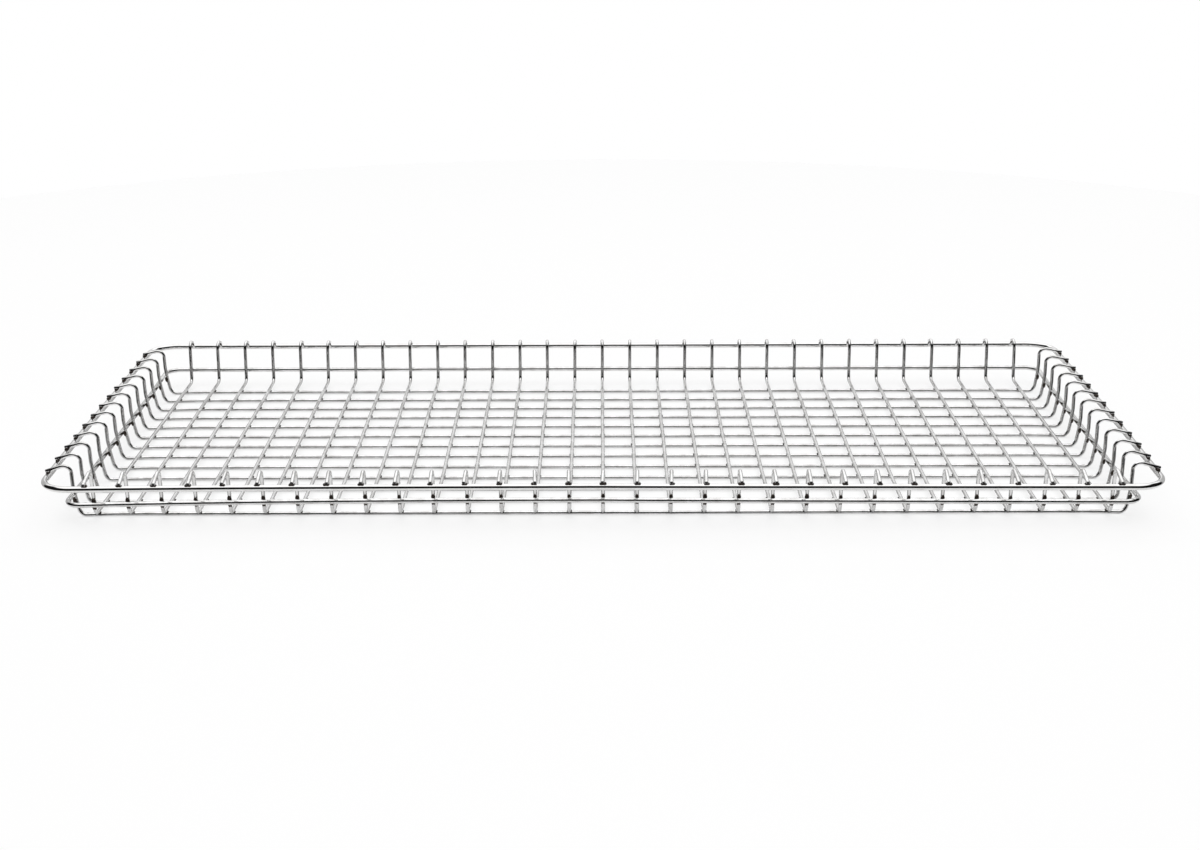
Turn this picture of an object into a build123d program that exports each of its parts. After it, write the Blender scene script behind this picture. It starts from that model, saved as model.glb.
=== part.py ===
from build123d import *
from math import asin, atan2, cos, degrees, radians, sqrt, tan
import os

# A shallow tray of welded steel wire: a floor mesh whose wires bend up into four
# leaning walls, a thin ring round the walls and a thick rim rod under the lips.
# X runs along the tray, Y from front to back and Z up. The origin lies on the
# surface under the tray, below the middle of the rim.

# Floor mesh
mesh_pitch = 16.0
cross_wire_count = 31
long_wire_count = 13

# Wire and rod sizes
wire_diameter = 1.8
ring_diameter = 2.5
rim_diameter = 3.0

# Walls: the margins run from the outermost mesh wire to the foot of the wall
end_margin = 8.8
front_margin = 4.8
back_margin = 15.4
wall_lean = 6.0
wall_height = 26.8
foot_bend_radius = 3.5
knee_bend_radius = 3.8

# Rim: the reaches run outwards from the top of the wall to the rim rod
rim_height = 22.2
end_reach = 10.6
front_reach = 11.9
back_reach = 6.1
lip_overhang = 0.6
rim_bend_radius = 14.4

# Side ring
ring_height = 10.2
ring_bend_radius = 8.0

# Flat faces round a wire and the rim rod, and straight flats that stand for each bend
wire_faces = 8
rim_faces = 16
bend_flats = 2
ring_bend_flats = 4
rim_bend_flats = 8

# Heights of the wires' centrelines on the floor: the cross wires lie on the long wires
long_wire_height = wire_diameter / 2
cross_wire_height = wire_diameter * 3 / 2

# Half the mesh, and the feet of the walls as distances from the middle of the mesh
mesh_half_length = mesh_pitch * (cross_wire_count - 1) / 2
mesh_half_width = mesh_pitch * (long_wire_count - 1) / 2
end_foot = mesh_half_length + end_margin
front_foot = mesh_half_width + front_margin
back_foot = mesh_half_width + back_margin


def wall_offset(foot, foot_height, height):
    """Distance from the middle of the mesh to a wall's centreline at a height."""
    return foot + (height - foot_height) * tan(radians(wall_lean))


end_knee = wall_offset(end_foot, long_wire_height, wall_height)
front_knee = wall_offset(front_foot, cross_wire_height, wall_height)
back_knee = wall_offset(back_foot, cross_wire_height, wall_height)

# The rim is centred on the origin, so the mesh lies off centre between front and back
rim_half_length = end_knee + end_reach
rim_half_width = (front_knee + front_reach + back_knee + back_reach) / 2
mesh_middle_y = (front_knee + front_reach - back_knee - back_reach) / 2


def bend(before, corner, after, radius, flats):
    """Corner points of a bend whose flats are tangent to an arc of the given radius."""
    to_before = (before - corner).normalized()
    to_after = (after - corner).normalized()
    inside_angle = to_before.get_angle(to_after)
    to_centre = (to_before + to_after).normalized()
    centre = corner + to_centre * (radius / cos(radians(90 - inside_angle / 2)))
    turn = to_before.get_signed_angle(to_after, Vector(0, 0, 1))
    step = (180 - inside_angle) / (flats + 1) * (1 if turn > 0 else -1)
    arm = -to_centre * (radius / cos(radians(step / 2)))
    return [centre + arm.rotate(Axis.Z, (flats / 2 - i) * step) for i in range(flats + 1)]


def wall_points(foot, foot_height, knee, reach):
    """Tip, knee and foot of a wall and its lip, as distance outwards and height.

    The lip falls so that the underside of the wire is tangent to the rim rod."""
    drop = wall_height - rim_height
    seat = (wire_diameter + rim_diameter) / 2
    rod_distance = sqrt(reach**2 + drop**2)
    fall = degrees(atan2(drop, reach) - asin(seat / rod_distance))
    lip_length = sqrt(rod_distance**2 - seat**2) + lip_overhang
    knee_point = Vector(knee, wall_height)
    tip_point = knee_point + Vector(lip_length, 0).rotate(Axis.Z, -fall)
    return tip_point, knee_point, Vector(foot, foot_height)


def wire_centreline(left_wall, right_wall, middle):
    """Points of a bent wire from lip to lip, in the wire's own plane."""
    right_tip, right_knee, right_foot = right_wall
    left_tip, left_knee, left_foot = [Vector(-point.X, point.Y) for point in left_wall]
    points = [
        left_tip,
        *bend(left_tip, left_knee, left_foot, knee_bend_radius, bend_flats),
        *bend(left_knee, left_foot, right_foot, foot_bend_radius, bend_flats),
        *bend(left_foot, right_foot, right_knee, foot_bend_radius, bend_flats),
        *bend(right_foot, right_knee, right_tip, knee_bend_radius, bend_flats),
        right_tip,
    ]
    return [(point.X + middle, point.Y) for point in points]


def loop_points(end, front, back, radius, flats):
    """Points of a closed loop of rod, from the middle of its front side and round its corners."""
    front_middle = Vector(0, front)
    corners = [Vector(end, front), Vector(end, back), Vector(-end, back), Vector(-end, front)]
    route = [front_middle, *corners, front_middle]
    points = [front_middle]
    for before, corner, after in zip(route, route[1:], route[2:]):
        points += bend(before, corner, after, radius, flats)
    return [(point.X, point.Y) for point in points]


def save(part, name):
    """Label a finished piece and write it under its name."""
    part.label = name
    export_step(part, f"parts/{name}.step")


def build_wire(name, wire_plane, centreline):
    """Sweep the wire's section along its centreline in the given plane."""
    with BuildPart() as wire:
        with BuildLine(wire_plane) as path:
            Polyline(*centreline)
        with BuildSketch(Plane(path.line @ 0, x_dir=wire_plane.z_dir, z_dir=path.line % 0)):
            RegularPolygon(wire_diameter / 2, wire_faces, major_radius=False, rotation=180 / wire_faces)
        sweep(path=path.line, transition=Transition.RIGHT)
    save(wire.part, name)


os.makedirs("parts", exist_ok=True)

# Long wires: left to right, the lowest layer of the floor
end_wall = wall_points(end_foot, long_wire_height, end_knee, end_reach)
long_centreline = wire_centreline(end_wall, end_wall, 0)
for i in range(long_wire_count):
    wire_y = mesh_middle_y - mesh_half_width + i * mesh_pitch
    build_wire(f"long_wire_{i + 1:02d}", Plane.XZ.offset(-wire_y), long_centreline)

# Cross wires: front to back, on top of the long wires
front_wall = wall_points(front_foot, cross_wire_height, front_knee, front_reach)
back_wall = wall_points(back_foot, cross_wire_height, back_knee, back_reach)
cross_centreline = wire_centreline(front_wall, back_wall, mesh_middle_y)
for i in range(cross_wire_count):
    wire_x = -mesh_half_length + i * mesh_pitch
    build_wire(f"cross_wire_{i + 1:02d}", Plane.YZ.offset(wire_x), cross_centreline)

# Rim rod: one thick rod bent into a closed loop under all lips
with BuildPart() as rim_rod:
    with BuildLine(Plane.XY.offset(rim_height)) as rim_path:
        Polyline(
            *loop_points(rim_half_length, -rim_half_width, rim_half_width, rim_bend_radius, rim_bend_flats),
            close=True,
        )
    with BuildSketch(Plane(rim_path.line @ 0, x_dir=(0, 1, 0), z_dir=(1, 0, 0))):
        RegularPolygon(rim_diameter / 2, rim_faces)
    sweep(path=rim_path.line, transition=Transition.RIGHT)
save(rim_rod.part, "rim_rod")

# Side ring: flush on the outside of all four walls, its section leaning as they do
ring_offset = (wire_diameter + ring_diameter) / 2 / cos(radians(wall_lean))
ring_end = wall_offset(end_foot, long_wire_height, ring_height) + ring_offset
ring_front = mesh_middle_y - wall_offset(front_foot, cross_wire_height, ring_height) - ring_offset
ring_back = mesh_middle_y + wall_offset(back_foot, cross_wire_height, ring_height) + ring_offset
with BuildPart() as side_ring:
    with BuildLine(Plane.XY.offset(ring_height)) as ring_path:
        Polyline(*loop_points(ring_end, ring_front, ring_back, ring_bend_radius, ring_bend_flats), close=True)
    with BuildSketch(Plane(ring_path.line @ 0, x_dir=(0, 1, 0), z_dir=(1, 0, 0))):
        RegularPolygon(ring_diameter / 2, wire_faces, major_radius=False, rotation=180 / wire_faces + wall_lean)
    sweep(path=ring_path.line, transition=Transition.RIGHT)
save(side_ring.part, "side_ring")
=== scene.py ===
"""Looks of a shallow tray of welded steel wire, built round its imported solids."""

import logging
import math
from dataclasses import dataclass
from enum import Enum
from functools import cached_property

import bpy
import numpy as np
from bpy.types import Material, Mesh, Node, NodeSocket, Object
from mathutils import Matrix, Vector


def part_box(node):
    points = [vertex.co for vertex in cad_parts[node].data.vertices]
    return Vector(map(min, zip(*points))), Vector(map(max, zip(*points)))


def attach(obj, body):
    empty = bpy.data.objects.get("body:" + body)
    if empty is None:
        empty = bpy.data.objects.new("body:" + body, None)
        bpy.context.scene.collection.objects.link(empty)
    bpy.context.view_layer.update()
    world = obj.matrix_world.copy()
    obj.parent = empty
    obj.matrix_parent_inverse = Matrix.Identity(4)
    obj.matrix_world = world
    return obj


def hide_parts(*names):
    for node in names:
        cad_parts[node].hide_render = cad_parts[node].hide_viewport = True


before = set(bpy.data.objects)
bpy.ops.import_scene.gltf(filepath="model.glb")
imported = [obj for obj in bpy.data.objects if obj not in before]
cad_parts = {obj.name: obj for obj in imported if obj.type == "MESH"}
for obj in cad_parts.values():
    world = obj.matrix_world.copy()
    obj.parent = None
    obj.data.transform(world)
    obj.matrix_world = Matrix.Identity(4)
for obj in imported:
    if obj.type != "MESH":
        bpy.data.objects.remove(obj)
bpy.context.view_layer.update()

log = logging.getLogger("wire_tray")

MM = 0.001
BODY = "root"
WIRE_SLOT = "wire_steel"
RIM_SLOT = "rim_steel"
HEAT = "heat"
WIRE_UV = "wire_uv"
SEED = 7
# The part of a noise texture's range that carries a pattern
NOISE_SPAN = (0.3, 0.7)
WHITE = (1.0, 1.0, 1.0, 1.0)

Array = np.ndarray
Pair = tuple[float, float]
Triple = tuple[float, float, float]
Stops = tuple[tuple[float, Triple], ...]


class Side(Enum):
    """The four walls of the tray."""

    LEFT = "left"
    RIGHT = "right"
    FRONT = "front"
    BACK = "back"

    @property
    def is_end(self) -> bool:
        """Whether the wall is one of the two short ones, which the long wires climb."""
        return self in (Side.LEFT, Side.RIGHT)

    @property
    def outward(self) -> float:
        """Sign of the outward direction on the axis of the wires that climb the wall."""
        return -1.0 if self in (Side.LEFT, Side.FRONT) else 1.0


def unit(vector: Array) -> Array:
    """The vector, or each row of an array of vectors, at length one."""
    return vector / np.linalg.norm(vector, axis=-1, keepdims=True)


def smooth_step(value: Array) -> Array:
    """The curve 3v^2 - 2v^3, from 0 to 1 for values from 0 to 1 and flat beyond them."""
    clipped = np.clip(value, 0.0, 1.0)
    return clipped * clipped * (3.0 - 2.0 * clipped)


@dataclass(frozen=True)
class Route:
    """A line in a plane, made of straight runs and arcs.

    Attributes:
        points: one row of two coordinates for each sample.
        lengths: distance along the line to each sample.
    """

    points: Array
    lengths: Array

    @staticmethod
    def through(corners: Array, radii: list[float], run_step: float, arc_steps: int) -> "Route":
        """Round the inner corners of a polyline and sample it.

        Each arc is tangent to its two runs: it starts radius / tan(half the inside angle) before
        the corner, and its centre lies radius / sin(half the inside angle) inside it.

        Args:
            corners: the polyline's points, one row of two coordinates each.
            radii: one bend radius for each inner corner.
            run_step: longest distance between samples on a straight run.
            arc_steps: samples on each arc, less one.

        Returns:
            The sampled route.
        """
        pieces = [corners[:1]]
        share = np.linspace(0.0, 1.0, arc_steps + 1)[:, None]
        for before, corner, after, radius in zip(corners, corners[1:], corners[2:], radii):
            to_before, to_after = unit(before - corner), unit(after - corner)
            half_angle = math.acos(float(np.clip(to_before @ to_after, -1.0, 1.0))) / 2
            start = corner + to_before * radius / math.tan(half_angle)
            centre = corner + unit(to_before + to_after) * radius / math.sin(half_angle)
            arm = (start - centre) / radius
            turn_sign = math.copysign(1.0, float(to_before[0] * to_after[1] - to_before[1] * to_after[0]))
            angle = -turn_sign * (math.pi - 2 * half_angle) * share
            turned = np.hstack(
                [arm[0] * np.cos(angle) - arm[1] * np.sin(angle), arm[0] * np.sin(angle) + arm[1] * np.cos(angle)]
            )
            pieces.append(straight_run(pieces[-1][-1], start, run_step))
            pieces.append(centre + radius * turned)
        pieces.append(straight_run(pieces[-1][-1], corners[-1], run_step))
        pieces.append(corners[-1:])
        points = np.vstack(pieces)
        steps = np.linalg.norm(np.diff(points, axis=0), axis=1)
        kept = np.concatenate([[True], steps > 1e-7])
        points = points[kept]
        lengths = np.concatenate([[0.0], np.cumsum(np.linalg.norm(np.diff(points, axis=0), axis=1))])
        return Route(points, lengths)


def straight_run(start: Array, end: Array, step: float) -> Array:
    """Samples inside a straight run, without its two ends: start + share * (end - start)."""
    count = max(2, math.ceil(float(np.linalg.norm(end - start)) / step))
    share = np.linspace(0.0, 1.0, count + 1)[1:-1, None]
    return start + share * (end - start)


@dataclass(frozen=True)
class Hang:
    """How far a loop of rod lies below its drawn height, all round the tray.

    Attributes:
        middle: drop in the middle of the front, below zero where the rod stands higher.
        left, right: further drop at the front's left and right corner.
        left_power, right_power: how late each side starts to fall.
        back: drop along the back.
        fade: share of the tray's depth over which the front's drop becomes the back's.
    """

    middle: float
    left: float
    right: float
    left_power: float
    right_power: float
    back: float
    fade: float = 0.4

    def drop(self, across: Array, depth: Array) -> Array:
        """Drop at places from -1 to 1 along the tray and from 0 at the front to 1 at the back.

        At the front it is middle + left * |across|^left_power, or the same with the right side's
        values, and it turns into the back's drop by a smooth step of depth / fade.
        """
        out = np.clip(np.abs(across), 0.0, 1.0)
        left, right = self.left * out**self.left_power, self.right * out**self.right_power
        front = self.middle + np.where(across < 0, left, right)
        return front + (self.back - front) * smooth_step(depth / self.fade)


@dataclass(frozen=True)
class TrayPlan:
    """Sizes of the tray in metres and radians, as its solids have them, with bends to the middle line.

    Attributes:
        end_margin, front_margin, back_margin: from the outermost wire to the foot of each wall.
        wall_lean, right_lean: lean of the walls, and of the right one, which sprang back less.
        wall_height: height where the lines of wall and lip meet.
        lip_overhang: how far a lip reaches past the place where it touches the rim rod.
        ring_spread: how far the ring's ends stand off the end walls.
        floor_crown, crown_run: arch of the floor between the end walls, and the length of its rise.
        ring_hang, rim_hang: how the two loops lie below their drawn height.
    """

    end_margin: float = 8.8 * MM
    front_margin: float = 4.8 * MM
    back_margin: float = 15.4 * MM
    wall_lean: float = math.radians(6.0)
    right_lean: float = math.radians(3.6)
    wall_height: float = 26.8 * MM
    foot_bend_radius: float = 3.5 * MM
    knee_bend_radius: float = 3.8 * MM
    lip_overhang: float = 0.6 * MM
    rim_bend_radius: float = 14.4 * MM
    ring_radius: float = 1.25 * MM
    ring_bend_radius: float = 8.0 * MM
    ring_spread: float = 0.9 * MM
    floor_crown: float = 0.4 * MM
    crown_run: float = 14.0 * MM
    ring_hang: Hang = Hang(-0.5 * MM, 2.3 * MM, 1.75 * MM, 2.8, 0.8, 0.8 * MM)
    rim_hang: Hang = Hang(0.65 * MM, 0.85 * MM, 0.95 * MM, 3.0, 0.8, 0.3 * MM)

    def names(self, stem: str) -> list[str]:
        """Names of the solids of one kind, in order."""
        return sorted(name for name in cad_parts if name.startswith(stem))

    @cached_property
    def boxes(self) -> dict[str, Array]:
        """Lowest and highest corner of every solid, read from the frame."""
        return {name: np.array(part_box(name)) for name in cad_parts}

    @cached_property
    def cross_x(self) -> Array:
        """Places of the cross wires along the tray."""
        return np.array([self.boxes[name][:, 0].mean() for name in self.names("cross_wire")])

    @cached_property
    def long_y(self) -> Array:
        """Places of the long wires from front to back."""
        return np.array([self.boxes[name][:, 1].mean() for name in self.names("long_wire")])

    @cached_property
    def wire_radius(self) -> float:
        """Half the width of a long wire."""
        low, high = self.boxes[self.names("long_wire")[0]]
        return float(high[1] - low[1]) / 2

    @cached_property
    def rim_radius(self) -> float:
        """Half the height of the rim rod."""
        low, high = self.boxes["rim_rod"]
        return float(high[2] - low[2]) / 2

    @cached_property
    def rim_height(self) -> float:
        """Height of the rim rod's middle."""
        return float(self.boxes["rim_rod"][:, 2].mean())

    @cached_property
    def rim_half_size(self) -> Pair:
        """Half the rim's length and width, to the middle of the rod."""
        high = self.boxes["rim_rod"][1]
        return float(high[0]) - self.rim_radius, float(high[1]) - self.rim_radius

    @cached_property
    def ring_height(self) -> float:
        """Height of the side ring's middle."""
        return float(self.boxes["side_ring"][:, 2].mean())

    def crown(self, along: Array) -> Array:
        """Rise of the floor at places along the tray: a smooth step inwards from the feet of the end walls."""
        inside = self.foot(Side.RIGHT) - self.foot_bend_radius - np.abs(along)
        return self.floor_crown * smooth_step(inside / self.crown_run)

    def ring_places(self) -> dict[Side, float]:
        """Signed places of the side ring's middle on the four walls."""
        offset = (self.wire_radius + self.ring_radius) / math.cos(self.wall_lean)
        places = {side: self.wall_place(side, self.ring_height) + side.outward * offset for side in Side}
        half_length = abs(places[Side.LEFT]) + self.ring_spread
        return places | {Side.LEFT: -half_length, Side.RIGHT: half_length}

    def rim_places(self) -> dict[Side, float]:
        """Signed places of the rim rod's middle on the four sides."""
        half_length, half_width = self.rim_half_size
        return {Side.LEFT: -half_length, Side.RIGHT: half_length, Side.FRONT: -half_width, Side.BACK: half_width}

    def drop(self, hang: Hang, places: dict[Side, float], spots: Array) -> Array:
        """A loop's drop at spots given as rows of X and Y."""
        across = spots[:, 0] / places[Side.RIGHT]
        depth = (spots[:, 1] - places[Side.FRONT]) / (places[Side.BACK] - places[Side.FRONT])
        return hang.drop(across, depth)

    def floor_height(self, side: Side) -> float:
        """Height on the floor of the wires that climb a wall: long wires lie below cross wires."""
        layers = 1 if side.is_end else 3
        return layers * self.wire_radius

    def foot(self, side: Side) -> float:
        """Signed place of a wall's foot along its wires' own axis."""
        return {
            Side.LEFT: self.cross_x[0] - self.end_margin,
            Side.RIGHT: self.cross_x[-1] + self.end_margin,
            Side.FRONT: self.long_y[0] - self.front_margin,
            Side.BACK: self.long_y[-1] + self.back_margin,
        }[side]

    def reach(self, side: Side) -> float:
        """Distance from the top of a wall out to the middle of the rim rod."""
        rim = self.rim_half_size[0 if side.is_end else 1]
        return rim - abs(self.wall_place(side, self.wall_height))

    def wall_place(self, side: Side, height: float) -> float:
        """Signed place of a wall's wires at a height."""
        lean = self.right_lean if side is Side.RIGHT else self.wall_lean
        climb = (height - self.floor_height(side)) * math.tan(lean)
        return self.foot(side) + side.outward * climb

    def wire_spots(self, places: dict[Side, float]) -> Array:
        """Spots, as rows of X and Y, where the wires pass the given places, wall by wall."""
        rows = []
        for side in Side:
            own = self.long_y if side.is_end else self.cross_x
            place = np.full(len(own), places[side])
            rows.append(np.column_stack([place, own] if side.is_end else [own, place]))
        return np.vstack(rows)

    def wall_normals(self) -> Array:
        """Outward direction of the wall at each end of every wire, in the order of the spots."""
        rows = []
        for side in Side:
            outward = side.outward * math.cos(self.wall_lean)
            flat = [outward, 0.0] if side.is_end else [0.0, outward]
            count = len(self.long_y if side.is_end else self.cross_x)
            rows.append(np.tile([*flat, -math.sin(self.wall_lean)], (count, 1)))
        return np.vstack(rows)

    def wall_corners(self, side: Side, place: float, trim: float) -> Array:
        """Tip, knee and foot of one wall.

        The lip's line passes the rim rod's middle at the sum of both radii, so the wire lies on it.

        Args:
            side: the wall.
            place: place of the wire along that wall.
            trim: how much shorter than drawn the lip is cut.

        Returns:
            Three rows of place and height, from the tip inwards.
        """
        own = self.rim_places()[side]
        seat_spot = np.array([[own, place] if side.is_end else [place, own]])
        sag = float(self.drop(self.rim_hang, self.rim_places(), seat_spot)[0])
        drop = self.wall_height - self.rim_height + sag
        reach = self.reach(side)
        seat, rod_distance = self.wire_radius + self.rim_radius, math.hypot(drop, reach)
        fall = math.atan2(drop, reach) - math.asin(seat / rod_distance)
        lip = math.sqrt(rod_distance**2 - seat**2) + self.lip_overhang - trim
        knee = np.array([self.wall_place(side, self.wall_height), self.wall_height])
        tip = knee + lip * np.array([side.outward * math.cos(fall), -math.sin(fall)])
        return np.array([tip, knee, [self.foot(side), self.floor_height(side)]])


@dataclass(frozen=True)
class Tube:
    """A round tube carried along a centreline, as a grid of points.

    Attributes:
        centre: one row of three coordinates for each ring.
        across, up: unit vectors of each ring's two directions.
        radius: the radius at each ring.
        lengths: distance along the centreline to each ring.
        closed: whether the last ring joins the first.
    """

    centre: Array
    across: Array
    up: Array
    radius: Array
    lengths: Array
    closed: bool

    def surface(self, sides: int) -> Array:
        """Grid of centre + radius * (cos(turn) * across + sin(turn) * up), ring by ring."""
        turn = np.linspace(0.0, 2 * math.pi, sides, endpoint=False)[None, :, None]
        spoke = np.cos(turn) * self.across[:, None, :] + np.sin(turn) * self.up[:, None, :]
        return self.centre[:, None, :] + self.radius[:, None, None] * spoke

    def _faces(self, sides: int) -> tuple[Array, Array]:
        """Corners of the side's faces, from each ring to the next, and the UV places of those corners.

        A UV place is the distance along the line in millimetres, and the share of a turn round it.
        """
        rings = len(self.centre)
        row = np.arange(rings if self.closed else rings - 1)[:, None]
        column = np.arange(sides)[None, :]
        next_row, next_column = (row + 1) % rings, (column + 1) % sides
        corners = ((row, column), (row, next_column), (next_row, next_column), (next_row, column))
        quads = np.stack([ring * sides + spoke for ring, spoke in corners], axis=-1)
        reached = np.append(self.lengths, self.lengths[-1] + self.lengths[1]) / MM
        along = np.stack([reached[row + ahead] + 0 * column for ahead in (0, 0, 1, 1)], axis=-1)
        around = np.stack([0 * row + column + turned for turned in (0, 1, 1, 0)], axis=-1) / sides
        return quads.reshape(-1, 4), np.stack([along, around], axis=-1).reshape(-1, 4, 2)

    def piece(self, name: str, sides: int, heat: Array, finishes: list[Material]) -> Object:
        """Make the tube's mesh and its object.

        Args:
            name: name of the object.
            sides: points round each ring.
            heat: how strongly each ring is tinted by a weld, from 0 to 1.
            finishes: material of the side, and of the cut ends if the tube has any.

        Returns:
            The finished object, at the origin.
        """
        points = self.surface(sides).reshape(-1, 3)
        quads, uv = self._faces(sides)
        first = points[quads[0]]
        if np.cross(first[1] - first[0], first[3] - first[0]) @ (first[0] - self.centre[0]) < 0:
            quads, uv = quads[:, ::-1], uv[:, ::-1]
        ends = [] if self.closed else [list(range(sides)), list(range(len(points) - sides, len(points)))]
        caps = [facing_away(end, points) for end in ends]
        mesh = bpy.data.meshes.new(name)
        mesh.from_pydata(points.tolist(), [], quads.tolist() + caps)
        layer = mesh.uv_layers.new(name=WIRE_UV)
        corners = np.zeros((len(mesh.loops), 2), dtype=np.float32)
        corners[: uv.shape[0] * 4] = uv.reshape(-1, 2)
        layer.data.foreach_set("uv", corners.ravel())
        store_heat(mesh, np.repeat(heat, sides))
        for finish in finishes:
            mesh.materials.append(finish)
        smooth = np.arange(len(mesh.polygons)) < len(quads)
        mesh.polygons.foreach_set("use_smooth", smooth)
        mesh.polygons.foreach_set("material_index", (~smooth).astype(np.int32))
        mesh.update()
        return link(name, mesh)


def facing_away(cap: list[int], points: Array) -> list[int]:
    """The corners of an end cap in the order that turns its face away from the next ring of points."""
    ring = points[cap]
    normal = np.cross(ring[1] - ring[0], ring[len(cap) // 3] - ring[0])
    neighbour = points[cap[0] + len(cap) if cap[0] == 0 else cap[0] - len(cap)]
    return cap if normal @ (ring[0] - neighbour) > 0 else cap[::-1]


def store_heat(mesh: Mesh, heat: Array) -> None:
    """Keep the weld tint of each point on the mesh."""
    attribute = mesh.attributes.new(HEAT, "FLOAT", "POINT")
    attribute.data.foreach_set("value", heat.astype(np.float32))


def link(name: str, data: bpy.types.ID) -> Object:
    """An object at the origin that holds the mesh, lamp or camera, in the scene."""
    made = bpy.data.objects.new(name, data)
    bpy.context.scene.collection.objects.link(made)
    return made


class NodeTree:
    """A short way to write a shader's nodes."""

    def __init__(self, tree: bpy.types.NodeTree) -> None:
        """Start on an emptied tree."""
        self.tree = tree
        self.tree.nodes.clear()

    def add(self, kind: str, inputs: dict | None = None, **settings: object) -> Node:
        """Add a node.

        Args:
            kind: Blender's name of the node's type.
            inputs: value or output socket for each input, by name or number.
            settings: the node's own settings.

        Returns:
            The new node.
        """
        node = self.tree.nodes.new(kind)
        for key, value in settings.items():
            setattr(node, key, value)
        for key, value in (inputs or {}).items():
            if isinstance(value, NodeSocket):
                self.tree.links.new(value, node.inputs[key])
            else:
                node.inputs[key].default_value = value
        return node

    def ramp(self, factor: NodeSocket, stops: Stops) -> NodeSocket:
        """A colour ramp through the given stops of place and colour."""
        node = self.add("ShaderNodeValToRGB", {"Fac": factor})
        elements = node.color_ramp.elements
        while len(elements) < len(stops):
            elements.new(0.5)
        for element, (place, colour) in zip(elements, stops):
            element.position = place
            element.color = (*colour, 1.0)
        return node.outputs["Color"]

    def math(self, operation: str, first: object, second: object = 0.0) -> NodeSocket:
        """Result of one operation on two values."""
        node = self.add("ShaderNodeMath", {0: first, 1: second}, operation=operation)
        return node.outputs["Value"]

    def spread(self, value: object, low: float, high: float, new_low: object, new_high: object) -> NodeSocket:
        """The value moved smoothly from one range to another."""
        node = self.add(
            "ShaderNodeMapRange",
            {"Value": value, "From Min": low, "From Max": high, "To Min": new_low, "To Max": new_high},
            interpolation_type="SMOOTHSTEP",
        )
        return node.outputs["Result"]

    def noise(self, place: NodeSocket, scale: float, detail: float, roughness: float) -> NodeSocket:
        """Value of a noise texture at a place."""
        inputs = {"Vector": place, "Scale": scale, "Detail": detail, "Roughness": roughness}
        return self.add("ShaderNodeTexNoise", inputs).outputs["Fac"]

    def heat(self) -> NodeSocket:
        """The weld tint kept on the mesh."""
        return self.add("ShaderNodeAttribute", attribute_name=HEAT).outputs["Fac"]

    def blend(self, share: object, first: Node, second: Node) -> Node:
        """A mix of two shaders by the second one's share."""
        return self.add("ShaderNodeMixShader", {0: share, 1: first.outputs[0], 2: second.outputs[0]})

    def metal(self, colour: NodeSocket, metallic: float, roughness: object, pattern: NodeSocket, relief: Pair) -> None:
        """End a material in a metal with a relief: its pattern, height in metres and strength."""
        bump = self.add("ShaderNodeBump", {"Height": pattern, "Distance": relief[0], "Strength": relief[1]})
        inputs = {"Base Color": colour, "Metallic": metallic, "Roughness": roughness, "Normal": bump.outputs["Normal"]}
        shader = self.add("ShaderNodeBsdfPrincipled", inputs)
        self.add("ShaderNodeOutputMaterial", {"Surface": shader.outputs["BSDF"]})


def new_material(name: str) -> tuple[Material, NodeTree]:
    """A material with that name, and the writer of its empty node tree."""
    made = bpy.data.materials.new(name)
    made.use_nodes = True
    return made, NodeTree(made.node_tree)


def grey(value: float, warmth: float = 0.0) -> Triple:
    """A grey that a positive warmth turns towards yellow."""
    return value * (1 + warmth), value, value * (1 - warmth)


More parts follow.
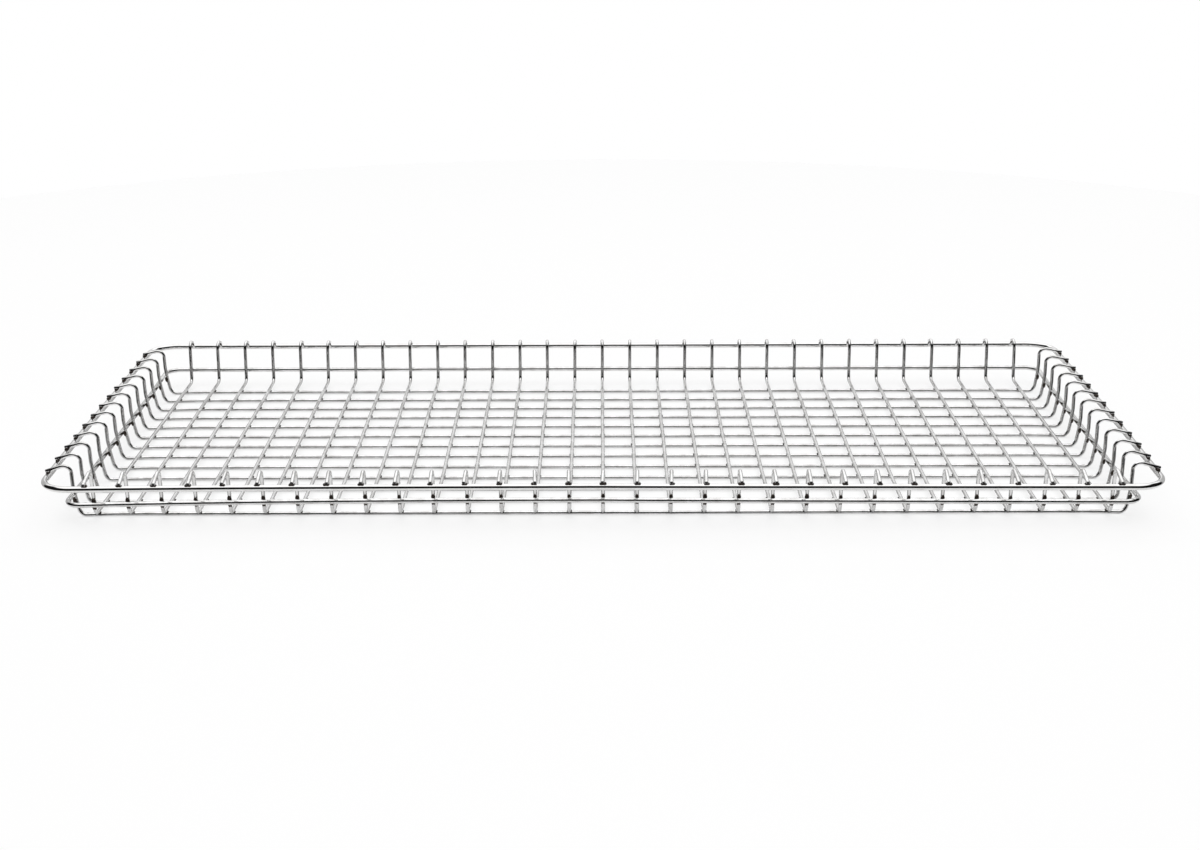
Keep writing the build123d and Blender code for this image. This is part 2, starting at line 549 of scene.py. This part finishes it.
@dataclass(frozen=True)
class DrawnSteel:
    """Electropolished stainless wire: draw lines along it, cloudy polish and heat tint at the welds.

    Attributes:
        pale, dull: tones of the brightest polish and of the cloudier patches.
        dull_warmth: how yellow those patches are.
        roughness: lowest and highest roughness.
        line_relief: height of the draw lines in metres, and how strongly they show.
        line_density: cells of their noise for each millimetre along the wire and each turn round it.
        cloud_scale: cells of the clouds' noise for each metre.
        cloud_span: values of that noise where the dull patches end and the bright ones begin.
        speck_scale: cells for each metre of the noise that breaks up the tint.
        speck_factors: least and most of the tint that it leaves.
        burnt_roughness: roughness that a full tint adds.
        tint: from clean steel through straw and brown to burnt.
    """

    name: str
    pale: float = 0.90
    dull: float = 0.68
    dull_warmth: float = 0.012
    roughness: Pair = (0.05, 0.13)
    line_relief: Pair = (0.012 * MM, 0.35)
    line_density: Triple = (0.12, 26.0, 1.0)
    cloud_scale: float = 160.0
    cloud_span: Pair = (0.35, 0.62)
    speck_scale: float = 1500.0
    speck_factors: Pair = (0.75, 1.2)
    burnt_roughness: float = 0.2
    tint: Stops = (
        (0.0, (1.0, 1.0, 1.0)),
        (0.35, (0.92, 0.84, 0.70)),
        (0.6, (0.52, 0.42, 0.35)),
        (0.9, (0.12, 0.10, 0.095)),
    )

    def material(self) -> Material:
        """Build the material's nodes."""
        made, nodes = new_material(self.name)
        uv = nodes.add("ShaderNodeUVMap", uv_map=WIRE_UV).outputs["UV"]
        place = nodes.add("ShaderNodeTexCoord").outputs["Object"]
        stretched = nodes.add("ShaderNodeMapping", {"Vector": uv, "Scale": self.line_density}).outputs["Vector"]
        lines = nodes.noise(stretched, 1.0, detail=3.0, roughness=0.6)
        clouds = nodes.noise(place, self.cloud_scale, detail=4.0, roughness=0.6)
        specks = nodes.noise(place, self.speck_scale, detail=2.0, roughness=0.5)
        tones = grey(self.dull, self.dull_warmth), grey(self.pale)
        tone = nodes.ramp(clouds, tuple(zip(self.cloud_span, tones)))
        heat = nodes.heat()
        uneven = nodes.math("MULTIPLY", heat, nodes.spread(specks, *NOISE_SPAN, *self.speck_factors))
        tint = nodes.ramp(uneven, self.tint)
        colour = nodes.add("ShaderNodeMix", {0: 1.0, 6: tone, 7: tint}, data_type="RGBA", blend_type="MULTIPLY")
        rough = nodes.spread(lines, *NOISE_SPAN, *self.roughness)
        rougher = nodes.math("ADD", rough, nodes.math("MULTIPLY", heat, self.burnt_roughness))
        nodes.metal(colour.outputs[2], 1.0, rougher, lines, self.line_relief)
        return made


WIRE = DrawnSteel("drawn_wire_steel")
RIM_ROD = DrawnSteel("rim_rod_steel", pale=0.91, dull=0.80, roughness=(0.035, 0.09), line_relief=(0.006 * MM, 0.35))


@dataclass(frozen=True)
class GrainySteel:
    """Dull steel with a rough grain.

    Attributes:
        tones: its colours.
        heat_share, grain_share: how far a weld's heat and the grain move the colour along them.
        metallic, roughness: the shader's own values.
        grain_scale, grain_roughness: cells of the grain's noise for each metre, and its roughness.
        grain_relief: height of the grain in metres, and how strongly it shows.
    """

    name: str
    tones: Stops
    heat_share: float
    grain_share: float
    metallic: float
    roughness: float
    grain_scale: float
    grain_roughness: float
    grain_relief: Pair

    def material(self) -> Material:
        """Build the material's nodes."""
        made, nodes = new_material(self.name)
        place = nodes.add("ShaderNodeTexCoord").outputs["Object"]
        grain = nodes.noise(place, self.grain_scale, detail=4.0, roughness=self.grain_roughness)
        warmed = nodes.math("MULTIPLY", nodes.heat(), self.heat_share)
        tone = nodes.ramp(nodes.math("ADD", warmed, nodes.math("MULTIPLY", grain, self.grain_share)), self.tones)
        nodes.metal(tone, self.metallic, self.roughness, grain, self.grain_relief)
        return made


# The sheared end of a wire: darker than its side, from the grain's pits to its ridges; its near-black is partly
# painted shade, standing in for the shade at the lips' tips
CUT_END_AND_SHADE = GrainySteel(
    "cut_end_steel_and_shade",
    tones=((0.35, grey(0.012, 0.05)), (0.65, grey(0.06, 0.02))),
    heat_share=0.0,
    grain_share=1.0,
    metallic=0.6,
    roughness=0.5,
    grain_scale=2600.0,
    grain_roughness=0.7,
    grain_relief=(0.08 * MM, 0.6),
)

# The once molten surface of a bead: oxide, from the brown of a cool weld to the black of a hot one; its near-black is
# partly painted shade, standing in for the shade in the corners where wires cross
WELD_SCALE_AND_SHADE = GrainySteel(
    "weld_scale_and_shade",
    tones=((0.35, (0.07, 0.056, 0.048)), (0.6, (0.018, 0.015, 0.014)), (0.85, (0.005, 0.005, 0.005))),
    heat_share=0.7,
    grain_share=0.5,
    metallic=0.85,
    roughness=0.45,
    grain_scale=900.0,
    grain_roughness=0.65,
    grain_relief=(0.12 * MM, 0.6),
)


@dataclass(frozen=True)
class Welds:
    """Places where two wires are welded, and how hot each weld ran.

    Attributes:
        points: one row of three coordinates for each weld.
        reach: distance at which the tint has faded, in metres.
        strength: from 0 to 1 for each weld.
    """

    points: Array
    reach: float
    strength: Array

    def tint(self, centre: Array) -> Array:
        """Tint along a centreline: the largest of strength * exp(-(distance / reach)^2) over the welds."""
        distance = np.linalg.norm(centre[:, None, :] - self.points[None, :, :], axis=2)
        return (self.strength * np.exp(-((distance / self.reach) ** 2))).max(axis=1)


@dataclass
class WeldMap:
    """All welds of the tray: on the floor, on the side ring and on the rim.

    A fourth group has no beads: it tints the walls brown and darker between the side ring and the floor.

    Attributes:
        plan, chance: the tray's sizes, and the source of the uneven strengths.
        floor_heat, ring_heat, rim_heat, foot_tint: for each group, how far its tint spreads and
            the strengths of its weakest and strongest weld.
        foot_share: height of the fourth group as a share of the ring's.
    """

    plan: TrayPlan
    chance: np.random.Generator
    floor_heat: Triple = (1.5 * MM, 0.4, 0.95)
    ring_heat: Triple = (3.3 * MM, 0.6, 1.0)
    rim_heat: Triple = (2.4 * MM, 0.5, 0.9)
    # Brown, darker tint on the walls between the side ring and the floor, where there is no weld
    foot_tint: Triple = (3.0 * MM, 0.4, 0.75)
    foot_share: float = 0.52

    def __post_init__(self) -> None:
        """Work out where the wires meet."""
        plan = self.plan
        grid = np.stack(np.meshgrid(plan.cross_x, plan.long_y, indexing="ij"), axis=-1).reshape(-1, 2)
        self.floor = self._welds(grid, 2 * plan.wire_radius + plan.crown(grid[:, 0]), self.floor_heat)
        outside = {side: plan.wall_place(side, plan.ring_height) + side.outward * plan.wire_radius for side in Side}
        walls = plan.wire_spots(outside)
        height = plan.ring_height - plan.drop(plan.ring_hang, plan.ring_places(), walls)
        self.ring = self._welds(walls, height, self.ring_heat)
        lips = plan.wire_spots(plan.rim_places())
        seat = plan.rim_height + plan.rim_radius - plan.drop(plan.rim_hang, plan.rim_places(), lips)
        self.rim = self._welds(lips, seat, self.rim_heat)
        feet = np.full(len(walls), self.foot_share * plan.ring_height)
        self.foot = self._welds(walls, feet, self.foot_tint)

    def _welds(self, spots: Array, height: Array, heat: Triple) -> Welds:
        """Welds at the given spots and heights, each with its own strength."""
        reach, weakest, strongest = heat
        return Welds(np.column_stack([spots, height]), reach, self.chance.uniform(weakest, strongest, len(spots)))

    def tint(self, centre: Array) -> Array:
        """The strongest tint of any weld along a centreline."""
        return np.max([group.tint(centre) for group in (self.floor, self.ring, self.rim, self.foot)], axis=0)


@dataclass
class MeshWires:
    """The floor mesh: cross wires and long wires, each bent up both walls and out over the rim.

    Attributes:
        plan, welds, chance: the tray's sizes, its welds, and the source of small differences.
        side_finish, end_finish_and_shade: materials of the wires' sides and of their cut ends, the cut ends dark
            partly as painted shade.
        sides, arc_steps, end_steps: faces round a wire, along a bend and along an end's rounding.
        end_rounding: radius of the edge at a cut end.
        wave_height, wave_lengths: sideways waves of a wire.
        trim_range: least and most that a lip is cut short.
        lip_drift: most that a lip's tip stands to one side.
        end_bow: how far the end walls bulge halfway up.
    """

    plan: TrayPlan
    welds: WeldMap
    chance: np.random.Generator
    side_finish: Material
    end_finish_and_shade: Material
    sides: int = 20
    run_step: float = 9.0 * MM  # longest face on a straight run
    arc_steps: int = 9
    end_rounding: float = 0.16 * MM
    end_steps: int = 3
    wave_height: float = 0.16 * MM
    wave_lengths: tuple[float, ...] = (61 * MM, 97 * MM, 173 * MM)
    trim_range: Pair = (0.08 * MM, 0.5 * MM)
    lip_drift: float = 0.35 * MM
    end_bow: float = 0.8 * MM

    def build(self) -> None:
        """Build every wire of the mesh."""
        for name, place in zip(self.plan.names("long_wire"), self.plan.long_y):
            self._wire(name, Side.LEFT, Side.RIGHT, place)
        for name, place in zip(self.plan.names("cross_wire"), self.plan.cross_x):
            self._wire(name, Side.FRONT, Side.BACK, place)

    def _wire(self, node: str, first: Side, last: Side, place: float) -> None:
        """Build one wire.

        Args:
            node: the solid that the wire stands for.
            first: wall at the wire's start.
            last: wall at its end.
            place: where it lies along those walls.
        """
        trims = self.chance.uniform(*self.trim_range, 2)
        corners = np.vstack(
            [self.plan.wall_corners(first, place, trims[0]), self.plan.wall_corners(last, place, trims[1])[::-1]]
        )
        radii = [self.plan.knee_bend_radius, self.plan.foot_bend_radius]
        route = Route.through(corners, radii + radii[::-1], self.run_step, self.arc_steps)
        tube = self._tube(route, first.is_end, place)
        heat = self.welds.tint(tube.centre)
        piece = tube.piece(f"round_{node}", self.sides, heat, [self.side_finish, self.end_finish_and_shade])
        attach(piece, BODY)
        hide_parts(node)
        log.info("%s: %d faces", piece.name, len(piece.data.polygons))

    def _tube(self, route: Route, is_long: bool, place: float) -> Tube:
        """Carry the wire's round section along its route.

        The wire wanders sideways by a mean of sines, and each lip drifts a little to one side, by a
        smooth step from its knee to its tip. The end walls bow outwards by the squared sine of the
        share of the wall's height, and the floor rises by its crown, which fades up the walls. Both
        ends are rounded: the last rings shrink along a quarter circle of the rounding's radius.

        Args:
            route: the wire's line in its own plane, as place and height.
            is_long: whether it is a long wire, which runs along X.
            place: where it lies on the other axis.

        Returns:
            The wire's tube.
        """
        plan, rounding = self.plan, self.end_rounding
        quarter = np.linspace(0.0, math.pi / 2, self.end_steps + 1)
        shrink, tail = rounding * (1 - np.cos(quarter)), rounding * (1 - np.sin(quarter))
        total = route.lengths[-1]
        inner = (route.lengths > rounding) & (route.lengths < total - rounding)
        lengths = np.concatenate([tail[::-1], route.lengths[inner], total - tail])
        radius = plan.wire_radius - np.concatenate([shrink[::-1], np.zeros(int(inner.sum())), shrink])
        along = np.interp(lengths, route.lengths, route.points[:, 0])
        height = np.interp(lengths, route.lengths, route.points[:, 1])
        if is_long:
            climb = np.clip((height - plan.wire_radius) / (plan.wall_height - plan.wire_radius), 0, 1)
            along = along + self.end_bow * np.sin(math.pi * climb) ** 2 * np.sign(along)
        floor_level = plan.floor_height(Side.LEFT if is_long else Side.FRONT)
        crown = plan.crown(along if is_long else np.full(len(along), place))
        height = height + crown * (1 - smooth_step((height - floor_level) / plan.wall_height))
        direction = unit(np.column_stack([np.gradient(along, lengths), np.gradient(height, lengths)]))
        phases = self.chance.uniform(0.0, 2 * math.pi, len(self.wave_lengths))
        waves = np.array([2 * math.pi / length for length in self.wave_lengths])
        sway = self.wave_height * np.sin(lengths[:, None] * waves + phases).mean(axis=1)
        drift = self.chance.uniform(-self.lip_drift, self.lip_drift, 2)
        lip = plan.reach(Side.LEFT)
        sway = sway + drift[0] * smooth_step(1 - lengths / lip) + drift[1] * smooth_step(1 - (total - lengths) / lip)
        fixed, zero = place + sway, np.zeros(len(lengths))
        centre = np.column_stack([along, fixed, height])
        across = np.column_stack([-direction[:, 1], zero, direction[:, 0]])
        up = np.tile([0.0, 1.0, 0.0], (len(lengths), 1))
        axes = [0, 1, 2] if is_long else [1, 0, 2]
        return Tube(centre[:, axes], across[:, axes], up[:, axes], radius, lengths, closed=False)


@dataclass
class RodLoop:
    """A closed loop of rod round the tray: the rim or the side ring.

    Attributes:
        node: the solid that the loop stands for.
        plan: the tray's sizes.
        places: places of its four sides, to the rod's middle.
        height: height of the rod's middle, as drawn.
        radius, bend_radius: of the rod, and of its corners to the rod's middle.
        hang: how far it lies below that height.
        lean: lean of the walls that it follows up and down, in radians.
        corner_bulge: how far its ends stand out beside its corners.
        sides, arc_steps: faces round the rod and along a corner.
    """

    node: str
    plan: TrayPlan
    places: dict[Side, float]
    height: float
    radius: float
    bend_radius: float
    hang: Hang
    lean: float = 0.0
    corner_bulge: float = 0.0
    sides: int = 28
    run_step: float = 8.0 * MM  # longest face on a straight run
    arc_steps: int = 14

    def build(self, welds: WeldMap, finish: Material, slot: str) -> None:
        """Build the loop and tie it to its solid."""
        tube = self._tube()
        piece = tube.piece(f"round_{self.node}", self.sides, welds.tint(tube.centre), [finish])
        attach(piece, BODY)
        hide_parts(self.node)
        log.info("%s: %d faces", piece.name, len(piece.data.polygons))

    def _tube(self) -> Tube:
        """Carry the rod's section round the loop.

        Where the rod hangs lower it also moves inwards by the drop times the tangent of the lean,
        so that it stays on the walls. The bulge is the product of two smooth steps: over the outer
        eighth of the half length, and over the quarter of the width that lies next to each corner.
        """
        left, right = self.places[Side.LEFT], self.places[Side.RIGHT]
        front, back = self.places[Side.FRONT], self.places[Side.BACK]
        corners = np.array([[0.0, front], [right, front], [right, back], [left, back], [left, front], [0.0, front]])
        route = Route.through(corners, [self.bend_radius] * 4, self.run_step, self.arc_steps)
        flat, lengths = route.points[:-1], route.lengths[:-1]
        ahead, behind = np.roll(flat, -1, axis=0), np.roll(flat, 1, axis=0)
        direction = unit(ahead - behind)
        outward = np.column_stack([direction[:, 1], -direction[:, 0]])
        rise = -self.plan.drop(self.hang, self.places, flat)
        share_out = np.abs(flat[:, 0]) / right
        share_back = (flat[:, 1] - front) / (back - front)
        outer_eighth = smooth_step(share_out * 8 - 7)
        outer_quarters = smooth_step(np.abs(share_back - 0.5) * 4 - 1)
        bulge = self.corner_bulge * outer_eighth * outer_quarters
        flat = flat + outward * (rise * math.tan(self.lean))[:, None]
        flat = flat + np.column_stack([np.sign(flat[:, 0]) * bulge, 0 * bulge])
        centre = np.column_stack([flat, self.height + rise])
        up = np.tile([0.0, 0.0, 1.0], (len(flat), 1))
        across = np.column_stack([outward, np.zeros(len(flat))])
        return Tube(centre, across, up, np.full(len(flat), self.radius), lengths, closed=True)


@dataclass(frozen=True)
class BeadSize:
    """Size of the beads of one group of welds.

    Attributes:
        radius: half a bead's width.
        half_thickness: half its thickness.
        ends, front, back: factors on the beads of the end walls, the front wall and the back wall.
            Each set has one factor across the group's line, one along it and one in thickness.
    """

    radius: float
    half_thickness: float
    ends: Triple = (1.0, 1.0, 1.0)
    front: Triple = (1.0, 1.0, 1.0)
    back: Triple = (1.0, 1.0, 1.0)

    def factors(self, plan: TrayPlan, welds: Welds) -> Array:
        """The three factors of each bead, by its place from front to back."""
        depth = welds.points[:, 1:2]
        chosen = np.where(depth > plan.long_y[-1] + plan.back_margin / 2, self.back, self.ends)
        return np.where(depth < plan.long_y[0] - plan.front_margin / 2, self.front, chosen)


@dataclass
class WeldBeads:
    """The beads of metal pressed out where wires are welded, as one piece for each group.

    A bead is a flattened ball whose outline bulges into the four corners between two crossing
    wires: in its own frame, radius = 1 - bulge * cos(4 * turn) times the cosine of the rise.

    Attributes:
        finish, chance: the beads' material, whose near-black is partly painted shade of the wires' corners, and the
            source of their uneven sizes.
        floor_size, ring_size, rim_size: size of each group's beads.
        size_range: least and most of that size.
        columns, rows: faces round a bead and from pole to pole.
        bulge: depth of the outline's waves.
    """

    finish: Material
    chance: np.random.Generator
    floor_size: BeadSize = BeadSize(1.2 * MM, 0.6 * MM)
    ring_size: BeadSize = BeadSize(1.6 * MM, 0.95 * MM, front=(1.9, 0.65, 0.9), back=(0.8, 0.6, 0.6))
    rim_size: BeadSize = BeadSize(
        1.6 * MM, 0.85 * MM, ends=(0.72, 1.0, 1.0), front=(1.0, 0.72, 1.0), back=(0.6, 0.6, 0.6)
    )
    size_range: Pair = (0.85, 1.12)
    columns: int = 12
    rows: int = 6
    bulge: float = 0.16

    def build(self, plan: TrayPlan, welds: WeldMap) -> None:
        """Build the beads of the floor, the side ring and the rim."""
        level = np.array([[0.0, 0.0, 1.0]])
        self._group("floor_welds", plan, welds.floor, level, self.floor_size)
        self._group("ring_welds", plan, welds.ring, plan.wall_normals(), self.ring_size)
        self._group("rim_welds", plan, welds.rim, level, self.rim_size)

    def _unit_bead(self) -> tuple[Array, Array, Array]:
        """Points, triangles and quads of a bead of radius one, closed at its two poles."""
        rise = np.linspace(-math.pi / 2, math.pi / 2, self.rows + 1)[1:-1, None]
        turn = np.linspace(0.0, 2 * math.pi, self.columns, endpoint=False)[None, :]
        reach = np.cos(rise) * (1 - self.bulge * np.cos(4 * turn))
        ring = np.stack([reach * np.cos(turn), reach * np.sin(turn), np.sin(rise) + 0 * turn], axis=-1)
        points = np.vstack([[[0.0, 0.0, -1.0]], ring.reshape(-1, 3), [[0.0, 0.0, 1.0]]])
        column = np.arange(self.columns)
        after, pole = (column + 1) % self.columns, np.zeros(self.columns, dtype=int)
        top = 1 + (self.rows - 2) * self.columns
        bottom_fan = np.stack([pole, after + 1, column + 1], axis=1)
        top_fan = np.stack([pole + len(points) - 1, top + column, top + after], axis=1)
        lower = 1 + np.arange(self.rows - 2)[:, None] * self.columns
        upper = lower + self.columns
        quads = np.stack([lower + column, lower + after, upper + after, upper + column], axis=-1)
        return points, np.vstack([bottom_fan, top_fan]), quads.reshape(-1, 4)

    def _group(self, name: str, plan: TrayPlan, welds: Welds, normals: Array, size: BeadSize) -> None:
        """Build one group of beads.

        Args:
            name: name of the piece.
            plan: the tray's sizes.
            welds: where the beads are.
            normals: the direction in which each bead is flat, as one row for each or for all.
            size: how large they are.
        """
        unit_points, triangles, quads = self._unit_bead()
        count = len(welds.points)
        normals = np.broadcast_to(normals, (count, 3))
        spread = self.chance.uniform(*self.size_range, (count, 1, 1)) * size.factors(plan, welds)[:, None, :]
        level = np.where(np.abs(normals[:, 2:]) > 0.5, [[1.0, 0.0, 0.0]], [[0.0, 0.0, 1.0]])
        lengthwise = unit(np.cross(normals, level))
        sideways = np.cross(normals, lengthwise)
        local = unit_points[None, :, :] * spread
        points = (
            welds.points[:, None, :]
            + size.radius * local[..., 0:1] * sideways[:, None, :]
            + size.radius * local[..., 1:2] * lengthwise[:, None, :]
            + size.half_thickness * local[..., 2:3] * normals[:, None, :]
        )
        offsets = (np.arange(count) * len(unit_points))[:, None, None]
        faces = (triangles + offsets).reshape(-1, 3).tolist() + (quads + offsets).reshape(-1, 4).tolist()
        mesh = bpy.data.meshes.new(name)
        mesh.from_pydata(points.reshape(-1, 3).tolist(), [], faces)
        store_heat(mesh, np.repeat(welds.strength, len(unit_points)))
        mesh.materials.append(self.finish)
        mesh.polygons.foreach_set("use_smooth", np.ones(len(mesh.polygons), dtype=bool))
        mesh.update()
        piece = link(name, mesh)
        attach(piece, BODY)
        log.info("%s: %d beads, %d faces", name, count, len(mesh.polygons))


@dataclass(frozen=True)
class Studio:
    """White floor, soft overhead light, and pale surroundings with a dark side behind the camera.

    Lengths are in metres and angles in radians. A span is where a change starts and ends: for the
    surroundings in parts of a direction along one axis, for the floor in flatness of the sight.

    Attributes:
        lens, sensor: focal length and sensor width, in millimetres.
        photo_width, pixel_middle: width of the picture and shift to a pixel's middle, in pixels.
        paint, gloss, gloss_roughness: tones of the floor's paint and gloss, and the roughness.
        camera_gloss, camera_glow: shares of gloss and of plain white in what the camera sees of it.
        steel_glow, mirror_span: share of plain white in what the steel sees of it, and the span in
            which that turns into a mirror.
        lamp_power: in watts.
        back_span, dark_span, darkness: where the dark side ends at the back and at the top, and the
            share of light that it lacks.
        side_span, side_tones: where the walls turn duller towards the sides, and their tones.
        ceiling_span, ceiling_tone: where the ceiling begins, and its tone.
    """

    camera_place: Triple = (-0.85 * MM, -899.77 * MM, 314.15 * MM)
    pitch_down: float = 0.324073
    yaw: float = -0.000315
    roll: float = -0.002972
    lens: float = 54.134
    sensor: float = 36.0
    photo_width: int = 1200
    pixel_middle: float = 0.5
    floor_radius: float = 0.85
    floor_corners: int = 96
    paint: float = 0.85
    gloss: float = 0.9
    gloss_roughness: float = 0.06
    camera_gloss: float = 0.03
    camera_glow: float = 0.72
    steel_glow: float = 0.1
    mirror_span: Pair = (0.52, 0.71)
    lamp_size: Pair = (3.2, 2.6)
    lamp_height: float = 1.5
    lamp_power: float = 16.0
    back_span: Pair = (0.30, 0.50)
    dark_span: Pair = (0.74, 0.84)
    darkness: float = 0.985
    side_span: Pair = (0.2, 0.42)
    side_tones: Pair = (0.85, 0.5)
    ceiling_span: Pair = (0.45, 0.60)
    ceiling_tone: float = 1.25

    def build(self) -> None:
        """Set up everything round the tray."""
        self._floor()
        self._softbox()
        self._surroundings()
        self._camera()
        bpy.context.scene.view_settings.view_transform = "Standard"

    def _floor(self) -> None:
        """A round white sheet."""
        turn = np.linspace(0.0, 2 * math.pi, self.floor_corners, endpoint=False)
        rim = self.floor_radius * np.column_stack([np.cos(turn), np.sin(turn), 0 * turn])
        mesh = bpy.data.meshes.new("studio_floor")
        mesh.from_pydata(rim.tolist(), [], [list(range(self.floor_corners))])
        mesh.materials.append(self._floor_material())
        link("studio_floor", mesh)

    def _floor_material(self) -> Material:
        """Glossy white acrylic sheet.

        The camera sees mostly plain white, and the rest of what it sees takes the tray's shadow.
        The steel sees the paint, which turns into a mirror where the sight is flat.
        """
        made, nodes = new_material("floor_white")
        path = nodes.add("ShaderNodeLightPath").outputs
        paint = nodes.add("ShaderNodeBsdfDiffuse", {"Color": (*grey(self.paint), 1.0)})
        white = nodes.add("ShaderNodeBsdfDiffuse", {"Color": WHITE})
        glow = nodes.add("ShaderNodeEmission", {"Color": WHITE, "Strength": 1.0})
        gloss_inputs = {"Color": (*grey(self.gloss), 1.0), "Roughness": self.gloss_roughness}
        gloss = nodes.add("ShaderNodeBsdfGlossy", gloss_inputs)
        seen = nodes.blend(self.camera_glow, nodes.blend(self.camera_gloss, white, gloss), glow)
        flatness = nodes.add("ShaderNodeLayerWeight", {"Blend": 0.5}).outputs["Facing"]
        mirror_share = nodes.spread(flatness, *self.mirror_span, 0.0, 1.0)
        reflected = nodes.blend(mirror_share, nodes.blend(self.steel_glow, paint, glow), gloss)
        others = nodes.blend(path["Is Glossy Ray"], paint, reflected)
        direct = nodes.math("MAXIMUM", path["Is Camera Ray"], path["Is Transmission Ray"])
        shader = nodes.blend(direct, others, seen)
        nodes.add("ShaderNodeOutputMaterial", {"Surface": shader.outputs[0]})
        return made

    def _softbox(self) -> None:
        """One large soft lamp above the tray."""
        lamp = bpy.data.lights.new("overhead_softbox", "AREA")
        lamp.shape = "RECTANGLE"
        lamp.size, lamp.size_y = self.lamp_size
        lamp.energy = self.lamp_power
        holder = link("overhead_softbox", lamp)
        holder.visible_glossy = False
        holder.location = (0.0, 0.0, self.lamp_height)

    def _surroundings(self) -> None:
        """White backdrop and ceiling, with the dark side of the room low down behind the camera."""
        world = bpy.data.worlds.new("studio")
        world.use_nodes = True
        nodes = NodeTree(world.node_tree)
        path = nodes.add("ShaderNodeLightPath").outputs
        direction = nodes.add("ShaderNodeTexCoord").outputs["Generated"]
        split = nodes.add("ShaderNodeSeparateXYZ", {"Vector": direction}).outputs
        in_front = nodes.spread(split["Y"], *self.back_span, 1.0, 0.0)
        low_down = nodes.spread(split["Z"], *self.dark_span, 1.0, 0.0)
        shade = nodes.math("MULTIPLY", nodes.math("MULTIPLY", in_front, low_down), self.darkness)
        aside = nodes.spread(nodes.math("ABSOLUTE", split["X"]), *self.side_span, *self.side_tones)
        pale = nodes.spread(split["Z"], *self.ceiling_span, aside, self.ceiling_tone)
        room = nodes.math("MULTIPLY", pale, nodes.math("SUBTRACT", 1.0, shade))
        inputs = {0: path["Is Camera Ray"], 6: room, 7: WHITE}
        colour = nodes.add("ShaderNodeMix", inputs, data_type="RGBA")
        shader = nodes.add("ShaderNodeBackground", {"Color": colour.outputs[2], "Strength": 1.0})
        nodes.add("ShaderNodeOutputWorld", {"Surface": shader.outputs[0]})
        bpy.context.scene.world = world

    def _camera(self) -> None:
        """The camera at the photograph's angle, with half a pixel of shift for the pixels' middles."""
        sine, cosine = math.sin(self.pitch_down), math.cos(self.pitch_down)
        forward = np.array([math.sin(self.yaw) * cosine, math.cos(self.yaw) * cosine, -sine])
        level = np.array([math.cos(self.yaw), -math.sin(self.yaw), 0.0])
        upward = np.cross(level, forward)
        right = math.cos(self.roll) * level + math.sin(self.roll) * upward
        top = -math.sin(self.roll) * level + math.cos(self.roll) * upward
        data = bpy.data.cameras.new("photo_camera")
        data.sensor_width = self.sensor
        data.lens = self.lens
        data.shift_x = -self.pixel_middle / self.photo_width
        data.shift_y = self.pixel_middle / self.photo_width
        data.clip_start = 10 * MM
        holder = link("photo_camera", data)
        columns = np.column_stack([right, top, -forward, self.camera_place])
        holder.matrix_world = Matrix([*columns.tolist(), [0.0, 0.0, 0.0, 1.0]])
        bpy.context.scene.camera = holder


def ring_loop(plan: TrayPlan) -> RodLoop:
    """The side ring, flush on the outside of all four walls."""
    return RodLoop(
        "side_ring",
        plan,
        plan.ring_places(),
        plan.ring_height,
        plan.ring_radius,
        plan.ring_bend_radius,
        plan.ring_hang,
        lean=plan.wall_lean,
        corner_bulge=1.2 * MM,
    )


def rim_loop(plan: TrayPlan) -> RodLoop:
    """The rim rod under all lips."""
    return RodLoop(
        "rim_rod", plan, plan.rim_places(), plan.rim_height, plan.rim_radius, plan.rim_bend_radius, plan.rim_hang
    )


def main() -> None:
    """Build the tray's looks and the studio round it."""
    logging.basicConfig(level=logging.INFO, format="%(name)s: %(message)s")
    plan = TrayPlan()
    chance = np.random.default_rng(SEED)
    welds = WeldMap(plan, chance)
    wire_steel = WIRE.material()
    rim_steel = RIM_ROD.material()
    # Cut ends: sheared steel, near black partly as painted shade at the lips' tips
    cut_steel_and_shade = CUT_END_AND_SHADE.material()
    MeshWires(plan, welds, chance, wire_steel, cut_steel_and_shade).build()
    rim_loop(plan).build(welds, rim_steel, RIM_SLOT)
    ring_loop(plan).build(welds, wire_steel, WIRE_SLOT)
    # Weld beads: oxide, near black partly as painted shade in the corners where wires cross
    WeldBeads(WELD_SCALE_AND_SHADE.material(), chance).build(plan, welds)
    Studio().build()


if __name__ == "__main__":
    main()
